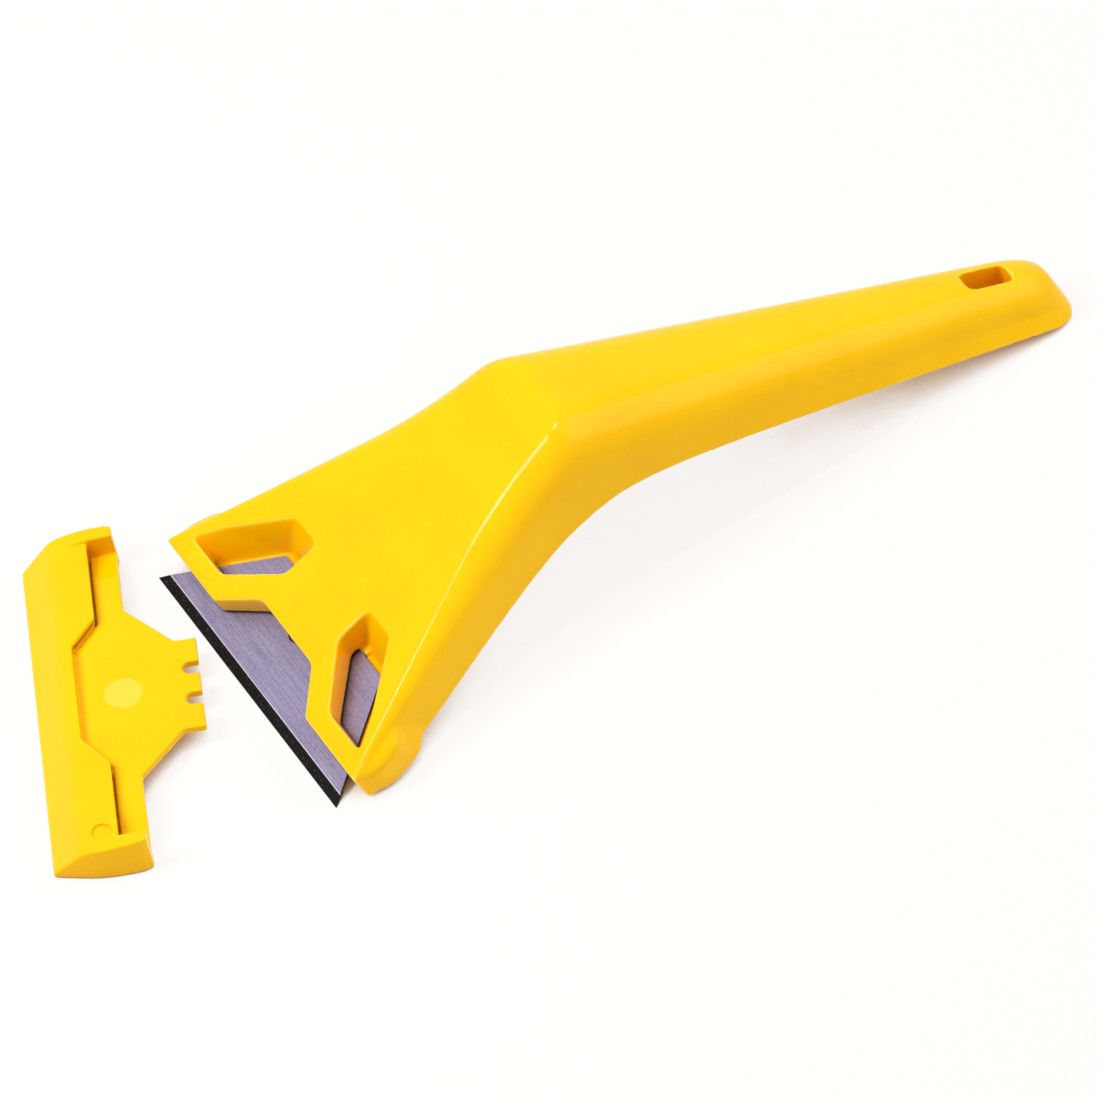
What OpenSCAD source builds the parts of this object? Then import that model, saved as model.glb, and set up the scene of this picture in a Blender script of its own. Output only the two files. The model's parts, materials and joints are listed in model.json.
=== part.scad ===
// Window scraper: one moulded handle and head, a trapezoid blade and a push-on blade guard.
// Millimetres. The cutting edge lies on X through the origin, +Y runs to the handle, +Z is up.
// The scraper lies on its cutting edge and the end of its handle, with the guard beside it.

/* [Blade] */
// Length of the cutting edge
blade_l = 62; // [59:0.5:64]
// Depth from the cutting edge to the back edge
blade_d = 19; // [18:0.5:20]
// Thickness of the steel
blade_t = 0.65; // [0.5:0.05:0.9]
// Slant of each end from square, in degrees
blade_slant = 37.5; // [34:0.5:40]
// Width of the ground bevel
bevel_w = 1.8; // [1:0.1:3]
// Thickness left at the cutting edge
edge_t = 0.06; // [0.04:0.01:0.15]
// Width of the slot that passes the peg
key_w = 4.4; // [3.6:0.1:5.2]
// Sideways offset of slot and peg, so that the blade goes in one way up
key_x = -2; // [-4:0.1:4]
// Distance from the cutting edge to the blind end of the slot
key_y = 10.9; // [9:0.1:12]

/* [Head] */
// Reach of the head's front corners beyond each end of the cutting edge
head_over = 1.6; // [1:0.1:2.5]
// Taper of each side of the head, in degrees
head_taper = 19.9; // [17:0.1:22]
// Distance from the cutting edge to the front of the lip
lip_y = 5.2; // [4.4:0.1:6]
// Height of the face above the blade's middle plane, at the cutting edge
face_h = 4; // [3.4:0.1:5]
// Rise of the face towards the crest, in degrees
face_rise = 6.4; // [4:0.1:9]
// Distance from the cutting edge to the crest
crest_y = 68.7; // [60:0.5:78]
// Depth of the rim below the blade's middle plane
rim_drop = 3.8; // [3.4:0.1:5]
// Radius of the face's side edges behind the windows, from where it shrinks to nothing at the lip
head_r = 6; // [3:0.1:7]
// Rise of the rim at the front corners
nose_lift = 2.7; // [1.5:0.1:3]
// Distance from the cutting edge to the back of the ears on the rim
ear_y = 16.6; // [13:0.2:20]
// Reach of the ears beyond the side walls
ear_out = 1.5; // [0.5:0.1:2.5]
// Reach of the ears just under the face
ear_high = 2.1; // [0.5:0.1:2.4]
// Width of the recess in the lip at its mouth
recess_w = 31.6; // [28:0.2:34]
// Width of the recess at its floor
recess_floor_w = 17.2; // [14:0.2:20]
// Depth of the recess from the front of the lip
recess_d = 6.4; // [5.6:0.1:7]

/* [Windows] */
// Depth of the lip in front of the windows
win_lip = 3.8; // [3:0.1:4.5]
// Distance from the blade's back edge to the windows' back edge
win_behind = 5.7; // [4:0.1:8]
// Distance from the windows' front edge to the knee in their inner side
win_knee_d = 8.5; // [7.5:0.1:9.5]
// Distance between the inner sides of the windows
win_gap = 18.2; // [17:0.1:20]
// Slant of the inner side in front of the knee, in degrees
win_in_slant = 48.6; // [45:0.1:52]
// Width of the frame between a window's outer front corner and the head's side
win_frame = 2.1; // [1.6:0.1:3]
// Slant of the outer side, in degrees
win_out_slant = 40; // [37:0.1:42]
// Gap between the blade's outline and the feet of the windows' slanted walls
win_foot_gap = 1; // [0.6:0.1:1.4]
// Thickness of the ledges that carry the blade
ledge_t = 1.3; // [1:0.1:1.6]

/* [Handle] */
// Distance from the cutting edge to the handle's end, along the blade
end_y = 146.5; // [130:0.5:165]
// Drop of the handle's top from the blade's plane, in degrees
handle_drop = 38.3; // [34:0.1:42]
// Width of the handle at the crest, at its shoulders
crest_w = 26.2; // [22:0.2:30]
// Width of the handle at its end, at its shoulders
end_w = 11.2; // [10:0.2:16]
// Radius of the top edges at the crest
crest_r = 8.5; // [5:0.1:10]
// Radius of the top edges at the end
end_r = 5.4; // [3:0.1:6]
// Flare of each side at the rim of the end
end_flare = 2.2; // [0.5:0.1:3]
// Depth of the handle at the crest, square to the blade
crest_depth = 15.5; // [12:0.1:18]
// Depth of the handle at its end, square to the blade
end_depth = 10.3; // [8:0.1:13]
// Length over which the end rounds off
end_round = 6; // [4:0.1:8]
// Length of the hanging slot
hang_l = 8.5; // [7:0.1:10]
// Width of the hanging slot
hang_w = 4.4; // [4.2:0.1:5]
// Distance from the middle of the hanging slot to the handle's end, along the blade
hang_in = 8.5; // [8:0.1:12]

/* [Shell] */
// Thickness of the side walls and of the handle's top
wall = 2; // [1.6:0.1:2.6]
// Thickness of the wall under the face
face_wall = 2.5; // [1.8:0.1:3.2]
// Thickness of the ribs and of the walls round the windows and the hanging slot
rib_t = 1.6; // [1.2:0.1:2]
// Depth of the ribs' edges inside the rim
rib_recess = 2.5; // [1:0.1:4]
// Number of ribs across the handle
rib_n = 4; // [2:1:6]

/* [Guard] */
// Thickness of the end rails
rail_t = 2.7; // [2:0.1:4]
// Depth of the end rails from the front edge
rail_d = 16.4; // [16.4:0.1:19]
// Height of the end rails
rail_h = 7.5; // [6.8:0.1:8]
// Height of the bar and of the covers over the blade's corners
bar_h = 6.4; // [6.2:0.1:6.7]
// Depth of the bar, from the front edge to the stop for the cutting edge
bar_d = 7.2; // [6.8:0.1:8]
// Depth of the covers, from the front edge
cover_d = 11.5; // [10.5:0.1:12]
// Distance between the covers at their back edges
cover_gap = 32.4; // [30:0.2:36]
// Height of the tongue's top above the base
tongue_h = 4.5; // [4.3:0.1:4.7]
// Thickness of the tongue and of the plates beside it
tongue_t = 1.5; // [1.2:0.1:1.8]
// Depth of the plates beside the tongue
plate_d = 16.3; // [15.5:0.1:16.4]
// Depth from the front edge to where the fingers start
finger_root = 24; // [23.5:0.1:25]
// Depth from the front edge to the finger tips
tongue_d = 27.7; // [26.8:0.1:29]
// Width of the notches between the fingers
notch_w = 2.6; // [2:0.1:3]
// Depth of the notches between the fingers
notch_d = 2.8; // [2:0.1:3.4]
// Distance between the notches
notch_pitch = 6.8; // [6:0.1:8]
// Sideways place of the guard's front edge as it lies
guard_x = -13.4; // [-30:0.1:10]
// Distance of the guard's front edge ahead of the cutting edge as it lies
guard_y = 32; // [32:0.1:60]
// Turn of the guard as it lies, in degrees
guard_turn = 23; // [0:0.5:45]

/* [Fits] */
// Gap between the blade and the lip, and between the blade and its ledges
blade_gap = 0.12; // [0.08:0.01:0.2]
// Gap between the peg and the blade's slot
peg_gap = 0.25; // [0.15:0.01:0.4]
// Gap between the head's sides and the guard's rails
guard_gap = 0.4; // [0.3:0.05:1]
// Gap between the guard's tongue and the ledges
tongue_gap = 0.3; // [0.2:0.05:0.5]

/* [Hidden] */
$fn = 48;

yellow = "gold";
steel = "slategray";

// Softness of the bends where head and handle meet, in the sides and in the rim
waist_blend = 2.7;
rim_blend = 7.9;
// Length over which an ear steps back into the side, and how far it leans forwards under the face
ear_step = 2.2;
ear_lean = 2;
// Height on the side where the ears reach furthest, as a share of the way from the face to the rim
ear_share = 0.12;
// Crown of the sides at that height
side_crown = 0.05;
// How far the end's rounding goes round, how square it is, and how far it takes the top down and the rim up
end_turn = 0.985;
end_square = 2.6;
end_top_drop = 2.5;
end_rim_lift = 0.3;
// Softness of the edge between face and handle, and radius of the face's edges at the lip
crest_soft = 2;
lip_r = 0.4;
// Overrun of cuts, and a depth past everything
over = 3;
deep = end_y / 2;
arc_steps = 12;

function mix(a, b, t) = a + (b - a) * t;
function clamp(t) = min(max(t, 0), 1);
function ramp(t) = let (c = clamp(t)) c * c * (3 - 2 * c);
function soft_max(a, b, k) = (a + b + sqrt((a - b) * (a - b) + k * k)) / 2;
function soft_min(a, b, k) = let (h = max(k - abs(a - b), 0) / k) min(a, b) - h * h * k / 4;
function bezier(p, t) = (1 - t) * (1 - t) * p[0] + 2 * t * (1 - t) * p[1] + t * t * p[2];
function unit(v) = v / norm(v);

// Outline with each corner rounded off from a distance d before it to d after it
function softened(plan, d) =
    let (n = len(plan))
    [for (i = [0:n - 1], k = [0:4])
     let (p = plan[i], before = plan[(i + n - 1) % n], after = plan[(i + 1) % n])
     bezier([p + d * unit(before - p), p, p + d * unit(after - p)], k / 4)];

// Closed outline from its right half, listed from front to back
function mirrored(half) = concat(half, [for (i = [len(half) - 1:-1:0]) [-half[i][0], half[i][1]]]);

// Sizes that follow from others
head_w = blade_l + 2 * head_over;
win_front = lip_y + win_lip;
win_back = blade_d + win_behind;
win_knee = win_front + win_knee_d;
win_in = win_gap / 2;
win_in_front = win_in + win_knee_d * tan(win_in_slant);
win_out_front = head_w / 2 - win_lip * tan(head_taper) - win_frame;
win_out_back = win_out_front - (win_back - win_front) * tan(win_out_slant);

// Side view of the skin, in the blade's frame: Z is square to the blade, 0 is its middle plane
function face_z(y) = face_h + y * tan(face_rise);
function top_z(y) = face_z(crest_y) - (y - crest_y) * tan(handle_drop);
function along(y) = (y - crest_y) / (end_y - crest_y);
function end_t(y) = clamp((y - end_y + end_round) / end_round);
function end_q(y) = pow(1 - pow(end_turn * end_t(y), end_square), 1 / end_square);
function end_fall(y) = (1 - end_q(y)) / (1 - end_q(end_y));
function nose(y) = nose_lift * pow(max(ear_y - y, 0) / (ear_y - lip_y), 2);
function handle_rim(y) = mix(crest_depth, end_depth, along(y)) - top_z(y);
function rim_z(y) = nose(y) + end_rim_lift * end_fall(y) - soft_max(rim_drop, handle_rim(y), rim_blend);

// Plan view of the skin
function head_half(y) = head_w / 2 - (y - lip_y) * tan(head_taper);
function half_w(y) = end_q(y) * soft_max(head_half(y), mix(crest_w, end_w, along(y)) / 2, waist_blend);
function ear(y, lean) = ramp(2 * (y - lip_y) / (ear_y - lip_y)) * (1 - ramp((y + lean - ear_y) / ear_step));
function end_out(y) = end_q(y) * end_flare * clamp(along(y));
function flare(y) = end_out(y) + ear_out * ear(y, 0);
function edge_r(y) = mix(crest_r, end_r, clamp(along(y)));

// Lying angle: the steepest line from the cutting edge to the rim near the handle's end
end_ys = [for (i = [0:arc_steps]) end_y - end_round * (1 - sin(90 * i / arc_steps))];
rest_tilt = max([for (y = end_ys) atan2(-rim_z(y), y)]);

// Fall of a rounded edge of radius r at x, on a section with half width hw
function edge_fall(x, hw, r) = let (e = max(x - hw + r, 0)) r - sqrt(max(r * r - e * e, 0));
function head_edge(y) = mix(lip_r, head_r, clamp((y - lip_y) / (0.6 * crest_y)));

// Height of the skin: the flat face with its rounded edges, cut off by the handle's arched top
function roof_z(y, x, hw, r) =
    soft_min(face_z(y) - edge_fall(x, hw, head_edge(y)),
             top_z(y) - end_top_drop * end_fall(y) - edge_fall(x, hw, r) / cos(handle_drop), crest_soft);

// Section at y from its right half, which is listed from the rim to the middle of the top
function section(half) = concat(half, [for (i = [len(half) - 2:-1:0]) [-half[i][0], half[i][1], half[i][2]]]);

function skin_section(y) =
    let (hw = half_w(y), r = min(edge_r(y), hw - 0.3),
         xs = concat([for (i = [0:arc_steps]) hw - r * (1 - cos(90 * i / arc_steps))], [(hw - r) / 2, 0]),
         swell = hw + end_out(y) * ear_share + ear_high * ear(y, ear_lean) + side_crown * end_q(y),
         swell_z = mix(roof_z(y, hw, hw, r), rim_z(y), ear_share))
    section(concat([[hw + flare(y), y, rim_z(y)], [swell, y, swell_z]],
                   [for (x = xs) [x, y, roof_z(y, x, hw, r)]]));

function hollow_section(y) =
    let (hw = half_w(y) - wall, r = min(max(edge_r(y) - wall, 1), hw - 0.3), rz = r / cos(handle_drop),
         top = min(top_z(y) - wall / cos(handle_drop) - end_top_drop * end_fall(y), face_z(y) - face_wall),
         arc = [for (i = [0:arc_steps]) let (a = 90 * i / arc_steps)
                [hw - r * (1 - cos(a)), y, top - rz * (1 - sin(a))]])
    section(concat([[hw + flare(y), y, rim_z(y) - over]], arc, [[0, y, top]]));

// Solid through a row of sections with equal counts of points
module loft(rings) {
    n = len(rings[0]);
    last = len(rings) - 1;
    sides = [for (i = [0:last - 1], j = [0:n - 1], h = [0, 1])
             let (a = i * n + j, b = i * n + (j + 1) % n) h == 0 ? [a, b, b + n] : [a, b + n, a + n]];
    front = [for (j = [n - 1:-1:0]) j];
    back = [for (j = [0:n - 1]) last * n + j];
    polyhedron(points = [for (ring = rings) each ring], faces = concat([front], sides, [back]));
}

skin_ys = concat([for (i = [0:4]) mix(lip_y, ear_y - 3, i / 5)],
                 [for (i = [0:4]) mix(ear_y - 3, ear_y, i / 4)],
                 [for (i = [1:5]) ear_y + ear_step * i / 5],
                 [for (i = [1:8]) mix(ear_y + ear_step, crest_y - 16, i / 8)],
                 [for (i = [1:9]) mix(crest_y - 16, crest_y - 4, i / 9)],
                 [for (i = [1:10]) mix(crest_y - 4, crest_y + 4, i / 10)],
                 [for (i = [1:4]) mix(crest_y + 4, crest_y + 14, i / 4)],
                 [for (i = [1:7]) mix(crest_y + 14, end_y - end_round, i / 8)], end_ys);

hollow_start = win_back + rib_t;
hollow_end = end_y - wall;
hollow_ys = concat([for (i = [0:6]) mix(hollow_start, crest_y - 14, i / 6)],
                   [for (i = [1:9]) mix(crest_y - 14, crest_y + 14, i / 9)],
                   [for (i = [1:8]) mix(crest_y + 14, hollow_end, i / 8)]);

// Levels in the blade bay
lip_z = blade_t / 2 + blade_gap;
ledge_low = -lip_z - ledge_t;
peg_y = key_y + key_w / 2;
peg_r = key_w / 2 - peg_gap;

// Hanging slot: upright as the scraper lies, placed in the lying frame
hang_bf = end_y - hang_in;
hang_y = hang_bf * cos(rest_tilt) - top_z(hang_bf) * sin(rest_tilt);
rib_span = [crest_y + 4, hang_bf - hang_l / 2 - 2 * rib_t];

// The guard's tongue follows the gap between the windows, and the ledges clear it
finger_half = win_in + 0.8;
tongue_half = finger_half + (finger_root - plate_d) * tan(win_in_slant);
ledge_in = finger_half + tongue_gap;
ledge_knee = finger_root - bar_d;
ledge_in_front = ledge_in + (ledge_knee - win_front + rib_t / 2) * tan(win_in_slant);
ledge_back = win_back + rib_t / 4;

function blade_half(y) = blade_l / 2 - y * tan(blade_slant);
function bay_half(y) = blade_half(y) + win_foot_gap / cos(blade_slant);
bay_back = blade_d + win_foot_gap;

// Each window is a funnel: its mouth in the face, and its foot round the blade on the ledge
window_mouth = [[win_out_front, win_front], [win_out_back, win_back], [win_in, win_back], [win_in, win_knee],
                [win_in_front, win_front]];
window_foot = [[bay_half(win_front), win_front], [bay_half(bay_back), bay_back], [win_in, bay_back],
               [win_in, win_knee], [win_in_front, win_front]];
ledge_plan = [[win_out_front + rib_t, win_front - rib_t / 2], [win_out_back + rib_t, ledge_back],
              [ledge_in, ledge_back], [ledge_in, ledge_knee], [ledge_in_front, win_front - rib_t / 2]];

// Outline of a window at height z, on straight lines from its foot through its mouth
function window_ring(z) =
    let (foot = softened(window_foot, 0.6), mouth = softened(window_mouth, 1.2))
    [for (i = [0:len(foot) - 1])
     let (p = foot[i], q = mouth[i], t = (z + lip_z) / (face_z(q[1]) + lip_z))
     [mix(p[0], q[0], t), mix(p[1], q[1], t), z]];

module lying() {
    rotate([rest_tilt, 0, 0]) children();
}

module upright() {
    rotate([-rest_tilt, 0, 0]) children();
}

module both_sides() {
    children();
    mirror([1, 0, 0]) children();
}

module hang_prism(grow, low, high) {
    w = hang_w / 2 + grow;
    l = hang_l / 2 + grow;
    translate([0, hang_y, low]) linear_extrude(high - low)
        polygon(softened([[w, -l], [w, l], [-w, l], [-w, -l]], 1.2 + grow / 2));
}

// Open space inside the shell, with the ribs and the hanging slot's walls left standing
module hollow() {
    difference() {
        loft([for (y = hollow_ys) hollow_section(y)]);
        for (i = [0:rib_n - 1]) {
            y = mix(rib_span[0], rib_span[1], i / (rib_n - 1));
            translate([-head_w / 2, y - rib_t / 2, rim_z(y) + rib_recess]) cube([head_w, rib_t, deep]);
        }
        upright() hang_prism(rib_t, -over, deep);
    }
}

// Space under the lip that takes the blade from the front and is open below
module blade_bay() {
    front = lip_y - over;
    in_front = half_w(front) - wall;
    in_back = half_w(win_back) - wall;
    clear = half_w(hollow_start) - wall;
    translate([0, 0, -deep]) linear_extrude(deep + lip_z)
        polygon(mirrored([[in_front, front], [in_back, win_back]]));
    translate([-clear, win_back - over, -deep]) cube([2 * clear, rib_t + 2 * over, deep + ledge_low]);
}

module recess() {
    slant = (recess_w - recess_floor_w) / 2 / recess_d;
    linear_extrude(deep) polygon(softened(mirrored([[recess_w / 2 + over * slant, lip_y - over],
                                                   [recess_floor_w / 2, lip_y + recess_d]]), 1));
}

module windows() {
    both_sides() loft([window_ring(face_z(win_back) + over), window_ring(-lip_z)]);
}

// Block under one window that carries the blade on its ledge and closes the pocket at the sides and the back
module ledge() {
    translate([0, 0, ledge_low]) linear_extrude(2 * lip_z + ledge_t + 1) polygon(ledge_plan);
}

// Flat way that the blade slides in by
module blade_way() {
    front = lip_y - over;
    translate([0, 0, -lip_z]) linear_extrude(2 * lip_z)
        polygon(mirrored([[bay_half(front), front], [bay_half(bay_back), bay_back]]));
}

// Stop behind one corner of the blade's back edge
module stop() {
    front = blade_d + blade_gap;
    inside = win_in - rib_t;
    translate([inside, front, -lip_z + blade_gap])
        cube([ledge_in + blade_t - inside, win_foot_gap + blade_t, 2 * lip_z]);
}

module handle() {
    color(yellow) lying() {
        difference() {
            union() {
                difference() {
                    loft([for (y = skin_ys) skin_section(y)]);
                    hollow();
                    blade_bay();
                }
                both_sides() ledge();
            }
            windows();
            blade_way();
            recess();
            upright() hang_prism(0, -over, deep);
        }
        both_sides() stop();
        translate([key_x, peg_y, -lip_z - peg_gap]) cylinder(r = peg_r, h = 2 * lip_z + 2 * peg_gap);
    }
}

module blade() {
    back = blade_l / 2 - blade_d * tan(blade_slant);
    color(steel) lying() difference() {
        intersection() {
            translate([-blade_l / 2, 0, 0]) rotate([90, 0, 90]) linear_extrude(blade_l)
                polygon([[0, -edge_t / 2], [bevel_w, -blade_t / 2], [blade_d, -blade_t / 2],
                         [blade_d, blade_t / 2], [bevel_w, blade_t / 2], [0, edge_t / 2]]);
            translate([0, 0, -blade_t]) linear_extrude(2 * blade_t)
                polygon([[-blade_l / 2, 0], [blade_l / 2, 0], [back, blade_d], [-back, blade_d]]);
        }
        translate([key_x, peg_y, -blade_t]) cylinder(d = key_w, h = 2 * blade_t);
        translate([key_x - key_w / 2, peg_y, -blade_t]) cube([key_w, blade_d, 2 * blade_t]);
    }
}

// Guard, in its own frame: X along the bar, Y from the front edge to the fingers, Z up from its base
rail_in = head_w / 2 + guard_gap;
rail_out = rail_in + rail_t;
front_h = 0.8;
lap = 1;
channel_top = tongue_h + blade_t + 2 * blade_gap;
cover_in = cover_gap / 2;
cover_step = cover_in - (cover_d - bar_d) * 1.35;
ramp_in = rail_in - 7.5;

// Side view of the bar's slanted nose with its soft top corner, and of the rails that grow out of it
nose_d = bar_d - rib_t;
nose_ctrl = [mix([0, front_h], [nose_d, bar_h], 0.72), [nose_d, bar_h], [nose_d + 2.2, bar_h]];
rail_ctrl = [[nose_d - 0.9, bar_h - 1.1], [nose_d + 0.4, bar_h + 0.3], [rail_d - 0.5, rail_h]];
bar_curve = concat([[0, front_h]], [for (i = [0:6]) bezier(nose_ctrl, i / 6)], [[cover_d, bar_h]]);
rail_curve = [for (i = [0:6]) bezier(rail_ctrl, i / 6)];

// Plan of the guard's swollen ends
end_curve = [[rail_out - 1.9, 0], [rail_out - 1.25, 2.4], [rail_out - 0.65, 5], [rail_out - 0.2, 7.2],
             [rail_out, 9.4], [rail_out, rail_d - 3.4], [rail_out - 0.2, rail_d - 1.4],
             [rail_out - 0.8, rail_d]];

// Slab between two places along the bar, with its side view given from the base up
module slab(from, to, outline) {
    translate([from, 0, 0]) rotate([90, 0, 90]) linear_extrude(to - from) polygon(outline);
}

// Bar with its covers and rails, before the blade's channel is cut
module guard_frame() {
    intersection() {
        linear_extrude(rail_h + 1) polygon(mirrored(end_curve));
        union() {
            slab(-rail_out - 1, rail_out + 1, concat([[0, 0]], bar_curve, [[cover_d, 0]]));
            both_sides()
                slab(rail_in, rail_out + 2, concat([[rail_ctrl[0][0], 0]], rail_curve, [[rail_d, 0]]));
        }
    }
}

// Channel under the covers, the space between them, and two pockets that keep the bar's walls even
module guard_cuts() {
    translate([-rail_in, bar_d, -1]) cube([2 * rail_in, rail_d, channel_top + 1]);
    translate([0, 0, -1]) linear_extrude(rail_h + 2)
        polygon([[cover_step, bar_d], [cover_in, cover_d], [cover_in, rail_d], [-cover_in, rail_d],
                 [-cover_in, cover_d], [-cover_step, bar_d]]);
    both_sides() slab(3, rail_in - 2, [[2.8, -1], [2.8, 2.2], [4.2, 3.5], [bar_d - rib_t, 4],
                                       [bar_d - rib_t, -1]]);
}

// Tongue with its fingers, and the plates beside it out to the corner ramps
module tongue() {
    front = cover_d - lap;
    notch_y = tongue_d - notch_d + notch_w / 2;
    half = [[cover_step + lap, bar_d - 1], [cover_step + lap, bar_d], [cover_in + lap, front],
            [ramp_in + 0.3, front], [ramp_in + 0.3, plate_d], [tongue_half, plate_d],
            [finger_half, finger_root], [finger_half, tongue_d]];
    translate([0, 0, tongue_h - tongue_t]) difference() {
        linear_extrude(tongue_t) polygon(mirrored(half));
        for (s = [-1, 1]) translate([s * notch_pitch / 2, notch_y, -1]) {
            cylinder(d = notch_w, h = tongue_t + 2);
            translate([-notch_w / 2, 0, 0]) cube([notch_w, tongue_d, tongue_t + 2]);
        }
    }
}

// Ramp that falls from the plate beside the tongue to one rail, with the wall that carries the plate
module corner_ramp() {
    front = cover_d - lap;
    low = tongue_h - 1.6;
    wide = rail_in + 0.5;
    translate([0, plate_d, 0]) rotate([90, 0, 0]) linear_extrude(plate_d - front)
        polygon([[ramp_in, tongue_h], [ramp_in, tongue_h - tongue_t], [wide, low - tongue_t], [wide, low]]);
    translate([ramp_in - 1, front + 0.2, 0]) cube([rib_t, plate_d - front - 0.5, tongue_h - tongue_t / 2]);
}

module blade_guard() {
    color(yellow) translate([guard_x, -guard_y, 0]) rotate([0, 0, -guard_turn]) difference() {
        union() {
            difference() {
                guard_frame();
                guard_cuts();
            }
            tongue();
            both_sides() corner_ramp();
        }
        translate([0, 14.7, tongue_h - 0.12]) cylinder(d = 6.6, h = 1);
        translate([rail_in - 1.9, 8.9, bar_h - 0.6]) cylinder(d = 3.4, h = 2);
    }
}

handle();
blade();
blade_guard();
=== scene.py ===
import json
import math

import bmesh
import bpy
import numpy as np
from mathutils import Euler, Matrix, Vector


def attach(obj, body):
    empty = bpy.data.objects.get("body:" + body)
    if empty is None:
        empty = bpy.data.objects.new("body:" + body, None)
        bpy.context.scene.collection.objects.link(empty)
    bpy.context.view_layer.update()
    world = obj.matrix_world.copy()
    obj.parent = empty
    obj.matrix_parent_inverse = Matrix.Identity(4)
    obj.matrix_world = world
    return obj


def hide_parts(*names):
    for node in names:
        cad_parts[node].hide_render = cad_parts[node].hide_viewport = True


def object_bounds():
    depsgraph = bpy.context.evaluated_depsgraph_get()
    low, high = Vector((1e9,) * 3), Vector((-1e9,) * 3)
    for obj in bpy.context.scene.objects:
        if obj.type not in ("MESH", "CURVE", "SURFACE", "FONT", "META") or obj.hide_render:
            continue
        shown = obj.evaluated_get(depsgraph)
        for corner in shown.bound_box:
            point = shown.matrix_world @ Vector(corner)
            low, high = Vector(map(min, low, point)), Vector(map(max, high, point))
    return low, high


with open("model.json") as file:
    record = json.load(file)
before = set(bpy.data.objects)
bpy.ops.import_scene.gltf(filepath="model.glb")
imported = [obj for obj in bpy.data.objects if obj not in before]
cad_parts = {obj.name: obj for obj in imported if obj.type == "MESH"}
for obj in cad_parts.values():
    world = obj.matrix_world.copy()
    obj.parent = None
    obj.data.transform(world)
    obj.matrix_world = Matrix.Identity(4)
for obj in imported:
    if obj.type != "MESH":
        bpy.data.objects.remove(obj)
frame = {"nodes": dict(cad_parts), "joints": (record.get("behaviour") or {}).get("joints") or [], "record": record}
CAD_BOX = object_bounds()

bl_info = {
    "name": "Window scraper",
    "version": (1, 0, 0),
    "blender": (4, 5, 0),
    "location": "View3D > Sidebar > Scraper",
    "description": "Moulded handle, steel blade, moulded blade guard and a plain stage for a window scraper",
    "category": "Object",
}

MM = 0.001

# Guard, in millimetres along its bar, back from its front edge and up from its base: the place of its mount,
# its tongue's frosted disc, and one cover's edge from the rail to the middle with the way out from it
GUARD_BASE = (0, 3.6, 0)
DISC = (0, 14.7, 4.5)
DISC_RADIUS = 3.3
DISC_FADE = 0.2
COVER_EDGE = ((33, 11.5, 2.9), (25.5, 11.5, 4.5), (16.2, 11.5, 4.5), (10.4, 7.2, 4.5))
COVER_AWAY = ((0, 1, 0), (0, 1, 0), (-0.33, 1, 0), (-0.595, 0.803, 0))

# Slit beside a cover, in millimetres: its reach under the cover, its depth, and the cutter's height above it
SLIT_UNDER = 0.1
SLIT_DEPTH = 1
SLIT_ABOVE = 0.3

# Ears of the head, in millimetres. They start at a line beside the face, which lies this far from the middle
# at the cutting edge and draws nearer to the rear by its slope. They end at the rear and above the rim, and
# fade in over these lengths
EAR_LINE = 33.8
EAR_SLOPE = 0.36
EAR_LINE_FADE = 1.2
EAR_REAR = 24
EAR_REAR_FADE = 5
EAR_FOOT = 2
EAR_FOOT_FADE = 1.5

# Moulded meshes: their turn among the voxels, the radius that a smoothed edge has for its spread, the most
# of the radius that an edge may lose (a square corner loses 0.41), the last passes of smoothing, the share of
# faces that are kept, the fewest faces of a sound mesh, and the least move that counts
ASKEW = Euler((0.5, 0.6, 0.3)).to_matrix().to_4x4()
RADIUS_PER_SPREAD = 1.25
MOST_LOST = 0.45
LAST_PASSES = 3
HANDLE_KEPT = 0.18
GUARD_KEPT = 0.28
FEWEST_FACES = 1000
SMALLEST_MOVE = 1e-6

# Points of a node's mesh that are closer than this, in millimetres, are one
WELD = 0.001

# Folds of the blade: flatter ones are no edges, and sharper ones are broken
FLAT_FOLD = math.radians(1)
SHARP_FOLD = math.radians(40)

# Bevel of the blade, in millimetres back from its line: where the painted highlight on the shoulder and the black
# start, and where they are full
SHOULDER_START = 0.2
SHOULDER_FULL = 0.1
BEVEL_START = 0.06
BEVEL_FULL = -0.02

# Scale of the rolling lines' noise along the cutting edge, which draws it out into lines
LINE_SCALE = 0.03

# How much the frost adds to the roughness of the plastic
FROST_DULLING = 0.6

# How far a surface looks for others around it, in millimetres: painted bounce light in hollows and painted shade
# in narrow gaps in the plastic, painted contact shade on the steel, and painted shade on the paper
HOLLOW_REACH = 9
GAP_REACH = 1.2
CONTACT_SHADE_REACH = 0.9
SHADE_REACH = 25
REACH_SAMPLES = 8

# Depth of the relief on plastic and steel, and how far light spreads in the plastic, in millimetres
PEEL_DEPTH = 0.05
LINE_DEPTH = 0.02
LIGHT_SPREAD = 3

# Camera of the photograph, fitted to the blade: lens and sensor in millimetres, place in metres and turn in
# degrees
LENS = 295.53
SENSOR = 36
CAMERA_PLACE = (0.944664, -0.351328, 1.095612)
CAMERA_TURN = (42.85146, 5.85552, 60.31317)

# Softboxes, each with its place from the middle of the scraper and its size in metres, and its power in
# watts: one in front that the face's edge mirrors, a small one overhead that the crest mirrors, and a wide
# one behind that lights the grip as much as the face
LAMPS = {
    "front": ((-0.14, -0.56, 0.7), (0.16, 0.4), 4.8),
    "overhead": ((-0.07, 0.08, 0.9), (0.05, 0.25), 2.2),
    "behind": ((0.3, 0.75, 0.5), (0.8, 0.6), 3),
}

# Room and paper: the room's strength as a light, the paper's half width in metres, and its gap under the
# scraper in millimetres
ROOM_LIGHT = 0.45
PAPER_HALF = 4
PAPER_GAP = 0.1


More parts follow.
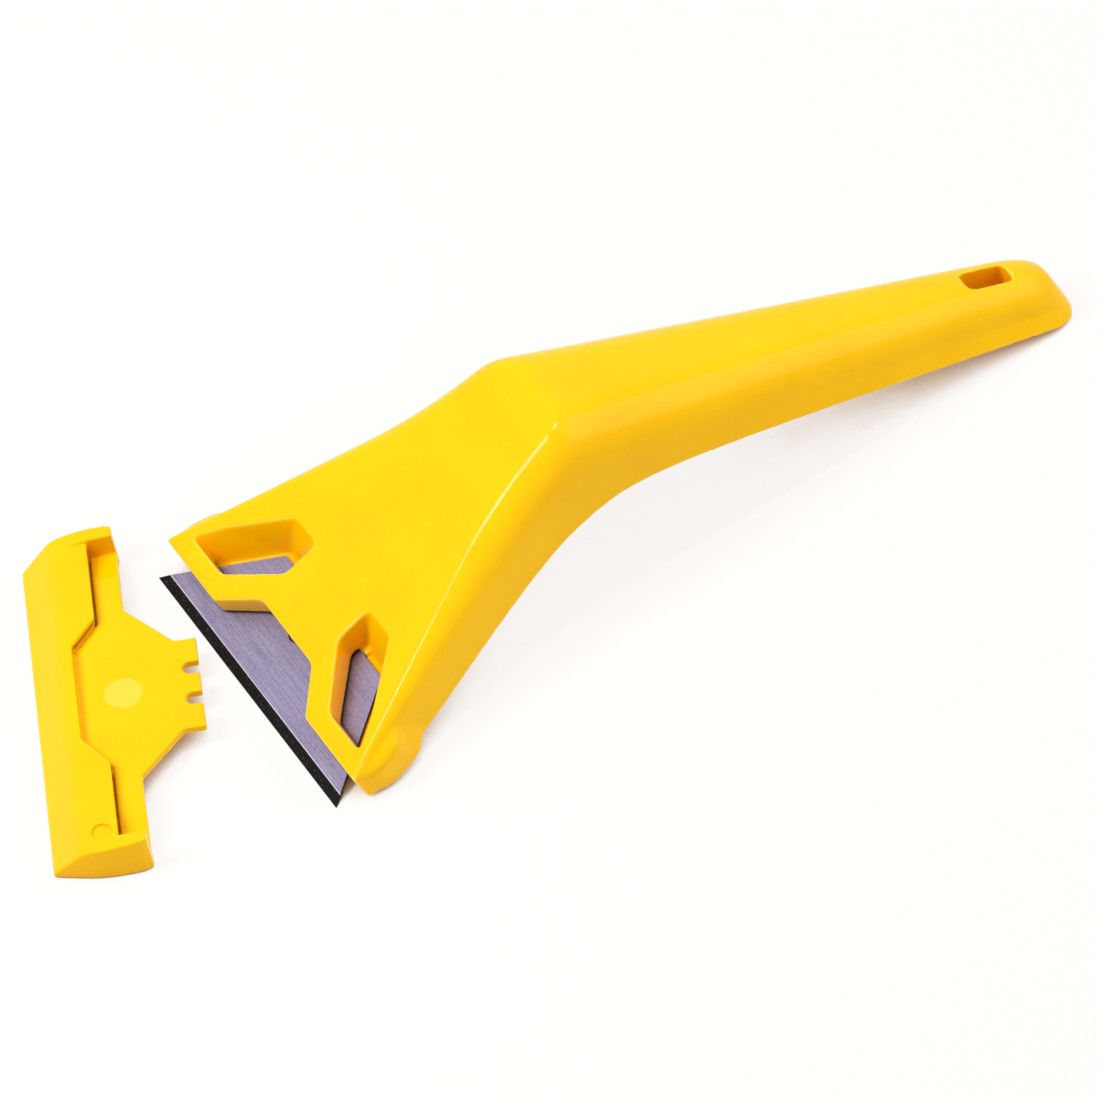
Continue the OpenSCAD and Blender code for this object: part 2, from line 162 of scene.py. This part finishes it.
def linear(code):
    """Linear colour of an sRGB hex value such as F2CB00."""
    channels = [int(code[i:i + 2], 16) / 255 for i in (0, 2, 4)]
    return tuple(c / 12.92 if c <= 0.04045 else ((c + 0.055) / 1.055) ** 2.4 for c in channels)


def colour(name, description, code):
    """Colour property with an sRGB hex value as its default."""
    return bpy.props.FloatVectorProperty(
        name=name, description=description, default=linear(code), subtype="COLOR", size=3, min=0, max=1)


def length(name, description, millimetres):
    """Length property with a default in millimetres."""
    return bpy.props.FloatProperty(
        name=name, description=description, default=millimetres * MM, unit="LENGTH", precision=5, min=0)


class ScraperSizes(bpy.types.PropertyGroup):
    """Sizes that a user would change"""

    handle_voxel: length("Handle mesh", "Spacing of the handle's mesh before it is thinned out", 0.2)
    handle_round: length("Handle edges", "Radius that the mould leaves on the handle's edges", 0.9)
    ear_round: length("Ear edges", "Radius of the soft upper edge of the head's ears", 1.8)
    guard_voxel: length("Guard mesh", "Spacing of the guard's mesh before it is thinned out", 0.15)
    guard_round: length("Guard edges", "Radius that the mould leaves on the guard's edges", 0.36)
    slit: length("Slit", "Width of the slit along the guard's covers", 0.36)
    blade_edge: length("Blade edges", "Width of the broken edges round the blade", 0.06)
    bevel: length("Bevel", "Width of the dark ground bevel along the cutting edge", 1.8)
    cloud: length("Clouding", "Size of the faint clouds in the moulded plastic", 16)
    peel: length("Orange peel", "Size of the ripples in the moulded skin", 1.4)
    rolling: length("Rolling lines", "Spacing of the rolling lines on the steel", 0.3)
    speckle: length("Speckle", "Size of the specks on the steel and of the frosted disc's grain", 0.42)


class ScraperColours(bpy.types.PropertyGroup):
    """Colours that a user would change"""

    yellow: colour("Yellow", "Moulded plastic in plain light", "FFD000")
    flow: colour("Flow yellow", "Clouds that the flowing plastic leaves", "FCC800")
    # Hollow and gap are painted light: bounce light that turns hollows orange, and shade deep in narrow gaps
    hollow: colour("Hollow yellow", "Plastic in hollows, where light bounces from wall to wall", "FFB000")
    gap: colour("Gap", "Plastic deep in a narrow gap", "5A2800")
    # Rubbed yellow is partly wear and partly a painted highlight along convex edges
    rubbed: colour("Rubbed yellow", "Plastic along rubbed edges", "FFEE90")
    frost: colour("Frosted yellow", "Frosted disc on the guard's tongue", "FFE26A")
    steel: colour("Steel", "Flat of the blade", "9891AC")
    steel_dark: colour("Dark steel", "Specks and rolling lines on the flat", "767090")
    # Soot is painted shade: the contact shade beside the plastic and the shade on the blade's sheared ends
    steel_shade: colour("Soot", "Dirt on the steel beside the plastic, and the blade's sheared ends", "1C1A20")
    bevel: colour("Bevel", "Blackened ground bevel", "080808")
    bevel_speck: colour("Bevel specks", "Bare specks in the bevel", "4A4A4E")
    # The shoulder's bright line is a painted highlight
    shoulder: colour("Shoulder", "Bright line where the bevel starts", "CCC8D8")
    paper: colour("Paper", "Paper under the scraper and the room round it, as they are seen", "FFFFFF")
    pulp: colour("Paper pulp", "Paper under the scraper, as it gives light back", "F2F0EC")
    room: colour("Room light", "Warm light that the room gives back", "FFDEB0")


def add(tree, kind, inputs=None, **settings):
    """Adds a node with its own settings. Each of its inputs is a constant or another node's output."""
    node = tree.nodes.new(kind)
    for name, value in settings.items():
        setattr(node, name, value)
    for name, value in (inputs or {}).items():
        if isinstance(value, bpy.types.NodeSocket):
            tree.links.new(value, node.inputs[name])
        else:
            node.inputs[name].default_value = value
    return node


def fade(tree, source, start, end, low=0, high=1):
    """Output that goes from low to high while its source goes from start to end."""
    inputs = {"Value": source, "From Min": start, "From Max": end, "To Min": low, "To Max": high}
    return add(tree, "ShaderNodeMapRange", inputs).outputs["Result"]


def maths(tree, operation, *terms):
    """Output of a calculation with numbers and other nodes' outputs."""
    return add(tree, "ShaderNodeMath", dict(enumerate(terms)), operation=operation).outputs[0]


def mixed(tree, share, first, second):
    """Colour that goes from the first to the second with a share, on the node's own sockets for colours."""
    return add(tree, "ShaderNodeMix", {0: share, 6: first, 7: second}, data_type="RGBA").outputs[2]


def noise(tree, place, size, detail, roughness=0.5):
    """Output of a noise with lumps of a size in metres."""
    inputs = {"Vector": place, "Scale": 1 / size, "Detail": detail, "Roughness": roughness}
    return add(tree, "ShaderNodeTexNoise", inputs).outputs["Fac"]


def openness(tree, reach):
    """How free a surface is of others within a reach in millimetres, from 0 to 1."""
    inputs = {"Distance": reach * MM}
    return add(tree, "ShaderNodeAmbientOcclusion", inputs, samples=REACH_SAMPLES).outputs["AO"]


def seen_share(tree):
    """1 where a ray shows the surface, also mirrored or through glass, and 0 where it only brings light."""
    path = add(tree, "ShaderNodeLightPath").outputs
    straight = maths(tree, "MAXIMUM", path["Is Camera Ray"], path["Is Glossy Ray"])
    return maths(tree, "MAXIMUM", straight, path["Is Transmission Ray"])


def rgba(value):
    """Colour with full opacity, for a node's socket."""
    return (*value, 1)


def blank_material(name):
    """Material with an empty node tree."""
    material = bpy.data.materials.new(name)
    material.use_nodes = True
    material.node_tree.nodes.clear()
    return material


def moulded_polypropylene(name, disc=None):
    """Injection moulded polypropylene from a polished mould.

    The eye sees one even, glossy yellow, which painted bounce light turns orange where walls face each other and
    painted shade turns dark in narrow gaps, faint clouds where the plastic flowed, ripples that break up the
    highlights, and paler edges, partly rubbed and partly a painted highlight.
    Where the mould was roughened, the plastic has a frosted disc, paler and dull.
    """
    sizes = bpy.context.scene.scraper_sizes
    colours = bpy.context.scene.scraper_colours
    material = blank_material(name)
    tree = material.node_tree
    place = add(tree, "ShaderNodeTexCoord").outputs["Object"]

    # Clouds of the flowing plastic, and the same clouds in its gloss
    clouds = noise(tree, place, sizes.cloud, detail=3)
    cloud_share = fade(tree, clouds, start=0.4, end=0.68, high=0.7)
    flowed = mixed(tree, cloud_share, rgba(colours.yellow), rgba(colours.flow))
    gloss = fade(tree, clouds, start=0.3, end=0.7, low=0.1, high=0.17)

    # Painted bounce light that turns hollows orange, and painted shade deep in narrow gaps
    hollow_bounce_share = fade(tree, openness(tree, HOLLOW_REACH), start=0.75, end=0.2, high=0.7)
    warmed = mixed(tree, hollow_bounce_share, flowed, rgba(colours.hollow))
    gap_shade_share = fade(tree, openness(tree, GAP_REACH), start=0.45, end=0.15, high=0.9)
    shaded = mixed(tree, gap_shade_share, warmed, rgba(colours.gap))

    # Paler edges, partly rubbed wear and partly a painted highlight, which the mould's rounding has marked on the
    # mesh
    wear_and_highlight = add(tree, "ShaderNodeAttribute", attribute_name="wear_and_highlight").outputs["Fac"]
    wear_and_highlight_share = fade(tree, wear_and_highlight, start=0.09, end=0.2, high=0.5)
    finish = mixed(tree, wear_and_highlight_share, shaded, rgba(colours.rubbed))

    # Frosted disc, with a grain of its own
    if disc:
        centre, radius = disc
        away = add(tree, "ShaderNodeVectorMath", {0: place, 1: centre}, operation="DISTANCE").outputs["Value"]
        inside = fade(tree, away, start=radius, end=radius - DISC_FADE * MM)
        grain = noise(tree, place, sizes.speckle, detail=2)
        frost = maths(tree, "MULTIPLY", inside, grain)
        finish = mixed(tree, frost, finish, rgba(colours.frost))
        gloss = maths(tree, "MULTIPLY_ADD", frost, FROST_DULLING, gloss)

    # Ripples in the skin
    ripples = noise(tree, place, sizes.peel, detail=2, roughness=0.45)
    skin = add(tree, "ShaderNodeBump", {"Height": ripples, "Strength": 0.12, "Distance": PEEL_DEPTH * MM})

    plastic = add(tree, "ShaderNodeBsdfPrincipled", {
        "Base Color": finish,
        "Roughness": gloss,
        "Normal": skin.outputs[0],
        "IOR": 1.49,
        "Specular IOR Level": 0.13,
        "Subsurface Weight": 0.3,
        "Subsurface Radius": (1, 0.45, 0.05),
        "Subsurface Scale": LIGHT_SPREAD * MM,
    })
    add(tree, "ShaderNodeOutputMaterial", {"Surface": plastic.outputs[0]})
    return material


def rolled_steel():
    """Cold rolled strip steel with a blackened, ground bevel.

    The eye sees a cool grey flat with fine rolling lines and specks, a painted highlight along the shoulder of
    the bevel, a nearly black bevel with a few bare specks, sheared ends darkened with painted shade, and painted
    contact shade where the plastic lies on the steel. The rolling lines are drawn about ten times as coarse as
    real ones, so that they show.
    """
    sizes = bpy.context.scene.scraper_sizes
    colours = bpy.context.scene.scraper_colours
    material = blank_material("rolled_steel")
    tree = material.node_tree

    # The strip's own directions: X along the edge, Y from the edge to the back
    drawn_out = next(j for j in frame["joints"] if j["child"] == "blade")["axis"]
    lean = math.atan2(-drawn_out[2], -drawn_out[1])
    surface_point = add(tree, "ShaderNodeTexCoord").outputs
    turned = {"Vector": surface_point["Object"], "Rotation": (-lean, 0, 0)}
    strip = add(tree, "ShaderNodeMapping", turned).outputs[0]
    depth = add(tree, "ShaderNodeSeparateXYZ", {0: strip}).outputs["Y"]

    # Rolling lines and specks on the flat
    stretched = add(tree, "ShaderNodeMapping", {"Vector": strip, "Scale": (LINE_SCALE, 1, 1)}).outputs[0]
    lines = noise(tree, stretched, sizes.rolling, detail=3, roughness=0.6)
    specks = noise(tree, strip, sizes.speckle, detail=4, roughness=0.7)
    worked = maths(tree, "MULTIPLY", lines, specks)
    worked_share = fade(tree, worked, start=0.12, end=0.36)
    flat = mixed(tree, worked_share, rgba(colours.steel), rgba(colours.steel_dark))

    # Painted highlight along the shoulder, and the bevel, by depth from the cutting edge
    shoulder_highlight_share = fade(tree, depth, sizes.bevel + SHOULDER_START * MM, sizes.bevel + SHOULDER_FULL * MM)
    lit = mixed(tree, shoulder_highlight_share, flat, rgba(colours.shoulder))
    bare_share = fade(tree, specks, start=0.58, end=0.72)
    ground = mixed(tree, bare_share, rgba(colours.bevel), rgba(colours.bevel_speck))
    bevel_share = fade(tree, depth, sizes.bevel + BEVEL_START * MM, sizes.bevel + BEVEL_FULL * MM)
    edged = mixed(tree, bevel_share, lit, ground)

    # Painted shade on the sheared ends, and painted contact shade in the corner between steel and plastic
    facing = add(tree, "ShaderNodeSeparateXYZ", {0: surface_point["Normal"]}).outputs["X"]
    sideways = maths(tree, "ABSOLUTE", facing)
    end_shade_share = fade(tree, sideways, start=0.4, end=0.7, high=0.85)
    contact_shade_share = fade(tree, openness(tree, CONTACT_SHADE_REACH), start=0.8, end=0.45, high=0.8)
    surface = mixed(tree, maths(tree, "MAXIMUM", end_shade_share, contact_shade_share), edged, rgba(colours.steel_shade))

    # The black bevel shines less like metal than the flat, and the specks change the gloss
    metal = fade(tree, bevel_share, start=0, end=1, low=0.6, high=0.1)
    dull = fade(tree, specks, start=0.3, end=0.7, low=0.36, high=0.5)
    relief = add(tree, "ShaderNodeBump", {"Height": worked, "Strength": 0.1, "Distance": LINE_DEPTH * MM})

    steel = add(tree, "ShaderNodeBsdfPrincipled", {
        "Base Color": surface,
        "Metallic": metal,
        "Roughness": dull,
        "Normal": relief.outputs[0],
        "IOR": 1.5,
        "Specular IOR Level": 0.1,
    })
    add(tree, "ShaderNodeOutputMaterial", {"Surface": steel.outputs[0]})
    return material


def seamless_paper():
    """Matt background paper: the eye sees it white, with a soft shadow, and painted shade makes it darker where it
    is covered.
    """
    colours = bpy.context.scene.scraper_colours
    material = blank_material("seamless_paper")
    tree = material.node_tree
    paper = add(tree, "ShaderNodeBsdfDiffuse", {"Color": rgba(colours.pulp)})
    white = add(tree, "ShaderNodeEmission", {"Color": rgba(colours.paper), "Strength": 1})
    # Painted shade: the paper is seen less white where the scraper covers it
    bare = fade(tree, openness(tree, SHADE_REACH), start=0.25, end=0.5, high=0.85)
    share = maths(tree, "MULTIPLY", seen_share(tree), bare)
    surface = add(tree, "ShaderNodeMixShader", {0: share, 1: paper.outputs[0], 2: white.outputs[0]})
    add(tree, "ShaderNodeOutputMaterial", {"Surface": surface.outputs[0]})
    return material


def bare_copy(node, name):
    """New object with a node's mesh, welded and without materials."""
    mesh = frame["nodes"][node].data.copy()
    mesh.name = name
    mesh.materials.clear()
    work = bmesh.new()
    work.from_mesh(mesh)
    bmesh.ops.remove_doubles(work, verts=work.verts, dist=WELD * MM)
    work.to_mesh(mesh)
    work.free()
    piece = bpy.data.objects.new(name, mesh)
    bpy.context.scene.collection.objects.link(piece)
    return piece


def settle(piece):
    """Applies a piece's modifiers, so that its mesh is its final shape."""
    bpy.context.view_layer.update()
    graph = bpy.context.evaluated_depsgraph_get()
    mesh = bpy.data.meshes.new_from_object(piece.evaluated_get(graph))
    old = piece.data
    piece.modifiers.clear()
    piece.data = mesh
    bpy.data.meshes.remove(old)
    mesh.name = piece.name


def dress(piece, material, body, node):
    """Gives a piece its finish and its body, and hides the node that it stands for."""
    piece.data.materials.clear()
    piece.data.materials.append(material)
    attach(piece, body)
    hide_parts(node)


def rows(items, key):
    """Vectors of a mesh's points or normals, one row each."""
    values = np.empty(3 * len(items), np.float32)
    items.foreach_get(key, values)
    return values.reshape(-1, 3)


def relax(piece, passes):
    """Smooths a piece's mesh and applies the result."""
    smooth = piece.modifiers.new("relaxed", "SMOOTH")
    smooth.factor = 0.5
    smooth.iterations = passes
    settle(piece)


def passes_for(radius, voxel):
    """Passes of smoothing that round an edge to a radius. Each pass spreads the edge by half a voxel."""
    return round((2 * radius / RADIUS_PER_SPREAD / voxel) ** 2)


def ear_share(points):
    """Share, from 0 to 1, of points in millimetres that lie on the head's ears, beside the face."""
    x, y, z = np.abs(points[:, 0]), points[:, 1], points[:, 2]
    line = EAR_LINE - EAR_SLOPE * y
    beside = np.clip((x - line) / EAR_LINE_FADE, 0, 1)
    ahead = np.clip((EAR_REAR - y) / EAR_REAR_FADE, 0, 1)
    above = np.clip((z - EAR_FOOT) / EAR_FOOT_FADE, 0, 1)
    return beside * ahead * above


def voxelled(node, name, voxel, cutters):
    """Copy of a node, cut by the cutters and rebuilt from voxels, in millimetres.

    It lies askew among the voxels, because an edge nearly in line with them would come out wavy.
    """
    piece = bare_copy(node, name)
    piece.data.transform(Matrix.Scale(1 / MM, 4))
    for cutter in cutters:
        cut = piece.modifiers.new("cut", "BOOLEAN")
        cut.operation = "DIFFERENCE"
        cut.object = cutter
    settle(piece)
    for cutter in cutters:
        bpy.data.objects.remove(cutter)
    piece.data.transform(ASKEW)
    voxels = piece.modifiers.new("voxels", "REMESH")
    voxels.mode = "VOXEL"
    voxels.voxel_size = voxel / MM
    settle(piece)
    return piece


def round_edges(piece, voxel, rounding, softer):
    """Rounds a piece's edges to a radius, and those in the share that softer gives to its own radius.

    The other points keep how far the rounding took them in, in millimetres, as their attribute "worn".
    """
    sharp = rows(piece.data.vertices, "co")
    passes = passes_for(rounding, voxel)
    relax(piece, passes)
    moved = rows(piece.data.vertices, "co") - sharp
    radius = np.full((len(sharp), 1), rounding / MM)
    share = np.zeros((len(sharp), 1))
    if softer:
        share_of, soft_rounding = softer
        relax(piece, passes_for(soft_rounding, voxel) - passes)
        share = share_of(sharp @ np.array(ASKEW.to_3x3()))[:, None]
        moved += share * (rows(piece.data.vertices, "co") - sharp - moved)
        radius += share * (soft_rounding - rounding) / MM

    # Thin edges would lose more than a square corner does, so they are held to about as much
    far = np.linalg.norm(moved, axis=1, keepdims=True)
    held = sharp + moved * np.minimum(1, MOST_LOST * radius / np.maximum(far, SMALLEST_MOVE))
    piece.data.vertices.foreach_set("co", held.ravel())
    relax(piece, LAST_PASSES)
    inward = sharp - rows(piece.data.vertices, "co")
    wear_and_highlight = (inward * rows(piece.data.vertex_normals, "vector")).sum(axis=1)
    wear_and_highlight *= 1 - share[:, 0]
    piece.data.attributes.new("wear_and_highlight", "FLOAT", "POINT").data.foreach_set("value", wear_and_highlight)


def mould(node, name, voxel, rounding, kept, cutters=(), softer=None):
    """Copy of a node with every edge rounded, as a mould leaves it, on a mesh thinned to the share kept."""
    piece = voxelled(node, name, voxel, cutters)
    round_edges(piece, voxel, rounding, softer)
    thin = piece.modifiers.new("thinned", "DECIMATE")
    thin.ratio = kept
    settle(piece)
    piece.data.transform(Matrix.Scale(MM, 4) @ ASKEW.inverted())
    if len(piece.data.polygons) < FEWEST_FACES:
        raise RuntimeError(f"{name} has lost its shape")
    piece.data.polygons.foreach_set("use_smooth", [True] * len(piece.data.polygons))
    return piece


def guard_point(along, back, up):
    """Place in millimetres of a point of the guard, given along its bar, back from its front edge and up."""
    mount = next(m for m in frame["record"]["mounts"] if m["name"] == "guard_base")
    backward = -Vector(next(j for j in frame["joints"] if j["child"] == "blade_guard")["axis"])
    sideways = Vector((backward.y, -backward.x, 0))
    offset = Vector((along, back, up)) - Vector(GUARD_BASE)
    base = Vector(mount["pos_m"]) / MM
    return base + offset.x * sideways + offset.y * backward + Vector((0, 0, offset.z))


def slit_cutter(side, width):
    """Solid that cuts the slit between one of the guard's covers and the plate beside it, in millimetres."""
    near, far = -SLIT_UNDER, width - SLIT_UNDER
    ring = ((near, -SLIT_DEPTH), (far, -SLIT_DEPTH), (far, SLIT_ABOVE), (near, SLIT_ABOVE))
    points = []
    for edge, away in zip(COVER_EDGE, COVER_AWAY):
        for out, up in ring:
            point = Vector(edge) + out * Vector(away)
            points.append(guard_point(side * point.x, point.y, point.z + up))
    count = len(ring)
    last = len(points) - count
    faces = [tuple(range(count)), tuple(reversed(range(last, len(points))))]
    for start in range(0, last, count):
        for i in range(count):
            following = (i + 1) % count
            faces.append((start + i, start + count + i, start + count + following, start + following))
    mesh = bpy.data.meshes.new("slit")
    mesh.from_pydata(points, [], faces)
    work = bmesh.new()
    work.from_mesh(mesh)
    bmesh.ops.recalc_face_normals(work, faces=work.faces)
    work.to_mesh(mesh)
    work.free()
    cutter = bpy.data.objects.new("slit", mesh)
    bpy.context.scene.collection.objects.link(cutter)
    return cutter


class SCRAPER_OT_handle(bpy.types.Operator):
    """Head and handle, one hollow moulding"""

    bl_idname = "scraper.handle"
    bl_label = "Handle"

    def execute(self, context):
        sizes = context.scene.scraper_sizes
        piece = mould("handle", "handle_moulding", sizes.handle_voxel, sizes.handle_round, HANDLE_KEPT,
                      softer=(ear_share, sizes.ear_round))
        dress(piece, moulded_polypropylene("moulded_polypropylene"), "handle", "handle")
        return {"FINISHED"}


class SCRAPER_OT_blade(bpy.types.Operator):
    """Trapezoid blade with broken edges"""

    bl_idname = "scraper.blade"
    bl_label = "Blade"

    def execute(self, context):
        sizes = context.scene.scraper_sizes
        piece = bare_copy("blade", "blade_strip")
        work = bmesh.new()
        work.from_mesh(piece.data)
        bmesh.ops.dissolve_limit(work, angle_limit=FLAT_FOLD, verts=work.verts, edges=work.edges)
        work.to_mesh(piece.data)
        work.free()
        broken = piece.modifiers.new("broken edges", "BEVEL")
        broken.width = sizes.blade_edge
        broken.segments = 2
        broken.limit_method = "ANGLE"
        broken.angle_limit = SHARP_FOLD
        settle(piece)
        dress(piece, rolled_steel(), "blade", "blade")
        return {"FINISHED"}


class SCRAPER_OT_guard(bpy.types.Operator):
    """Blade guard, one moulding, lying beside the head"""

    bl_idname = "scraper.guard"
    bl_label = "Blade guard"

    def execute(self, context):
        sizes = context.scene.scraper_sizes
        slits = [slit_cutter(side, sizes.slit / MM) for side in (-1, 1)]
        piece = mould("blade_guard", "guard_moulding", sizes.guard_voxel, sizes.guard_round, GUARD_KEPT,
                      cutters=slits)
        disc = (guard_point(*DISC) * MM, DISC_RADIUS * MM)
        frosted = moulded_polypropylene("frosted_polypropylene", disc)
        dress(piece, frosted, "blade_guard", "blade_guard")
        return {"FINISHED"}


def add_camera(scene):
    """Long lens from above and to the side."""
    lens = bpy.data.cameras.new("camera")
    lens.sensor_width = SENSOR
    lens.lens = LENS
    camera = bpy.data.objects.new("camera", lens)
    camera.location = CAMERA_PLACE
    camera.rotation_euler = Euler([math.radians(a) for a in CAMERA_TURN])
    scene.collection.objects.link(camera)
    scene.camera = camera


def add_paper(scene):
    """Paper just under the scraper."""
    mesh = bpy.data.meshes.new("paper")
    low = CAD_BOX[0].z - PAPER_GAP * MM
    corners = [(-1, -1), (1, -1), (1, 1), (-1, 1)]
    mesh.from_pydata([(x * PAPER_HALF, y * PAPER_HALF, low) for x, y in corners], [], [(0, 1, 2, 3)])
    mesh.materials.append(seamless_paper())
    paper = bpy.data.objects.new("paper", mesh)
    scene.collection.objects.link(paper)


def add_lamps(scene):
    """Softboxes that face the scraper, each with its first side across the handle and its second along it."""
    middle = (CAD_BOX[0] + CAD_BOX[1]) / 2
    for name, (place, size, power) in LAMPS.items():
        light = bpy.data.lights.new(name, "AREA")
        light.shape = "RECTANGLE"
        light.size, light.size_y = size
        light.energy = power
        lamp = bpy.data.objects.new(name, light)
        lamp.location = middle + Vector(place)
        ahead = Vector(place).normalized()
        across = Vector((0, 1, 0)).cross(ahead).normalized()
        lamp.rotation_euler = Matrix((across, ahead.cross(across), ahead)).transposed().to_euler()
        scene.collection.objects.link(lamp)


def add_room(scene):
    """White room: weaker and a little warmer as a light than as it is seen."""
    colours = scene.scraper_colours
    world = bpy.data.worlds.new("room")
    world.use_nodes = True
    tree = world.node_tree
    tree.nodes.clear()
    seen = seen_share(tree)
    strength = fade(tree, seen, start=0, end=1, low=ROOM_LIGHT)
    tint = mixed(tree, seen, rgba(colours.room), rgba(colours.paper))
    room = add(tree, "ShaderNodeBackground", {"Color": tint, "Strength": strength})
    add(tree, "ShaderNodeOutputWorld", {"Surface": room.outputs[0]})
    scene.world = world


class SCRAPER_OT_stage(bpy.types.Operator):
    """Camera, soft light and white paper"""

    bl_idname = "scraper.stage"
    bl_label = "Stage"

    def execute(self, context):
        context.scene.view_settings.view_transform = "Standard"
        add_camera(context.scene)
        add_paper(context.scene)
        add_lamps(context.scene)
        add_room(context.scene)
        return {"FINISHED"}


class VIEW3D_PT_scraper(bpy.types.Panel):
    """Sizes, colours and pieces of the scraper"""

    bl_idname = "VIEW3D_PT_scraper"
    bl_label = "Window scraper"
    bl_space_type = "VIEW_3D"
    bl_region_type = "UI"
    bl_category = "Scraper"

    def draw(self, context):
        for group in (context.scene.scraper_sizes, context.scene.scraper_colours):
            box = self.layout.column()
            for name in group.bl_rna.properties.keys():
                if name not in ("rna_type", "name"):
                    box.prop(group, name)
        for piece in PIECES:
            self.layout.operator(piece.bl_idname)


PIECES = (SCRAPER_OT_handle, SCRAPER_OT_blade, SCRAPER_OT_guard, SCRAPER_OT_stage)
CLASSES = (ScraperSizes, ScraperColours, *PIECES, VIEW3D_PT_scraper)


def register():
    for item in CLASSES:
        bpy.utils.register_class(item)
    bpy.types.Scene.scraper_sizes = bpy.props.PointerProperty(type=ScraperSizes)
    bpy.types.Scene.scraper_colours = bpy.props.PointerProperty(type=ScraperColours)


def unregister():
    del bpy.types.Scene.scraper_colours
    del bpy.types.Scene.scraper_sizes
    for item in reversed(CLASSES):
        bpy.utils.unregister_class(item)


def main():
    register()
    bpy.ops.scraper.handle()
    bpy.ops.scraper.blade()
    bpy.ops.scraper.guard()
    bpy.ops.scraper.stage()


if __name__ == "__main__":
    main()
